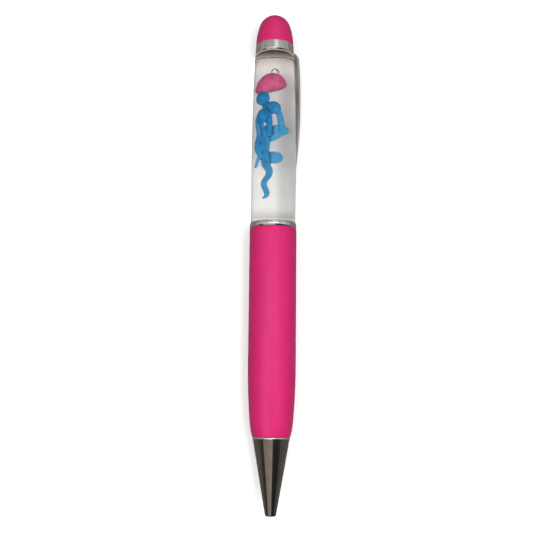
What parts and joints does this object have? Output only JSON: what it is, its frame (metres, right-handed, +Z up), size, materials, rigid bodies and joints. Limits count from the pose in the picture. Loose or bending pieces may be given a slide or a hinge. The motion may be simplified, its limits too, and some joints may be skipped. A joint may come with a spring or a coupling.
{
  "type": "floating-action twist ballpoint pen",
  "caption": "Twist ballpoint pen with an oil-filled clear upper half holding a drifting jellyfish figure, a domed cap, a pocket clip, a lacquered barrel and a bright nib.",
  "frame": {"origin": "on the table, at the middle of the pen's footprint, with the pen lying on its side", "axes": "Y along the pen, +Y to the cap; +X to the side the clip lies on; +Z up"},
  "size_m": [0.0142, 0.14, 0.013],
  "materials": {
    "cap_plastic": "glossy pink moulded plastic",
    "chrome_trim": "bright chrome plate on turned brass",
    "dark_chrome": "dark gunmetal chrome plate on turned brass",
    "clip_steel": "chromed spring steel strip",
    "clear_acrylic": "clear polished acrylic",
    "stopper_rubber": "dark maroon rubber",
    "seal_rubber": "black rubber",
    "inner_brass": "plain turned brass",
    "liner_plastic": "natural white acetal",
    "lacquered_brass": "glossy pink lacquer on brass tube",
    "refill_metal": "plain drawn metal tube",
    "pin_steel": "hardened steel and carbide",
    "bell_silicone": "soft pink silicone",
    "arm_silicone": "soft blue silicone"
  },
  "bodies": {
    "upper_half": {"dome_cap": "cap_plastic", "clip_band": "chrome_trim", "pocket_clip": "clip_steel", "clear_tube": "clear_acrylic", "chamber_stopper": "stopper_rubber", "centre_ring": "chrome_trim", "tube_coupling": "inner_brass", "drag_ring": "seal_rubber", "mechanism_housing": "inner_brass", "retaining_collar": "inner_brass"},
    "lower_half": {"lower_barrel": "lacquered_brass", "drive_sleeve": "liner_plastic", "cam_sleeve": "inner_brass", "nib_bush": "inner_brass", "nib_cone": "dark_chrome"},
    "refill": {"refill_plunger": "liner_plastic", "drive_pin": "pin_steel", "refill_tube": "refill_metal", "refill_point": "inner_brass"},
    "ball": {"writing_ball": "pin_steel"},
    "floater": {"jelly_bell": "bell_silicone", "jelly_arms": "arm_silicone"}
  },
  "joints": [
    {"name": "twist", "type": "hinge", "parent": "upper_half", "child": "lower_half", "pos_m": [-0.00058, 0, 0.00651], "axis": [0, 1, 0], "range_deg": [0, 180]},
    {"name": "refill_slide", "type": "slide", "parent": "upper_half", "child": "refill", "axis": [0, -1, 0], "range_m": [0, 0.0042]},
    {"name": "ball_roll", "type": "hinge", "parent": "refill", "child": "ball", "pos_m": [-0.00058, -0.06875, 0.00651], "axis": [1, 0, 0], "continuous": true},
    {"name": "floater_slide", "type": "slide", "parent": "upper_half", "child": "floater", "axis": [0, 1, 0], "range_m": [-0.004, 0.0044]}
  ],
  "couplings": [
    {"joint": "refill_slide", "follows": "twist", "m_per_rad": 0.0013369}
  ]
}
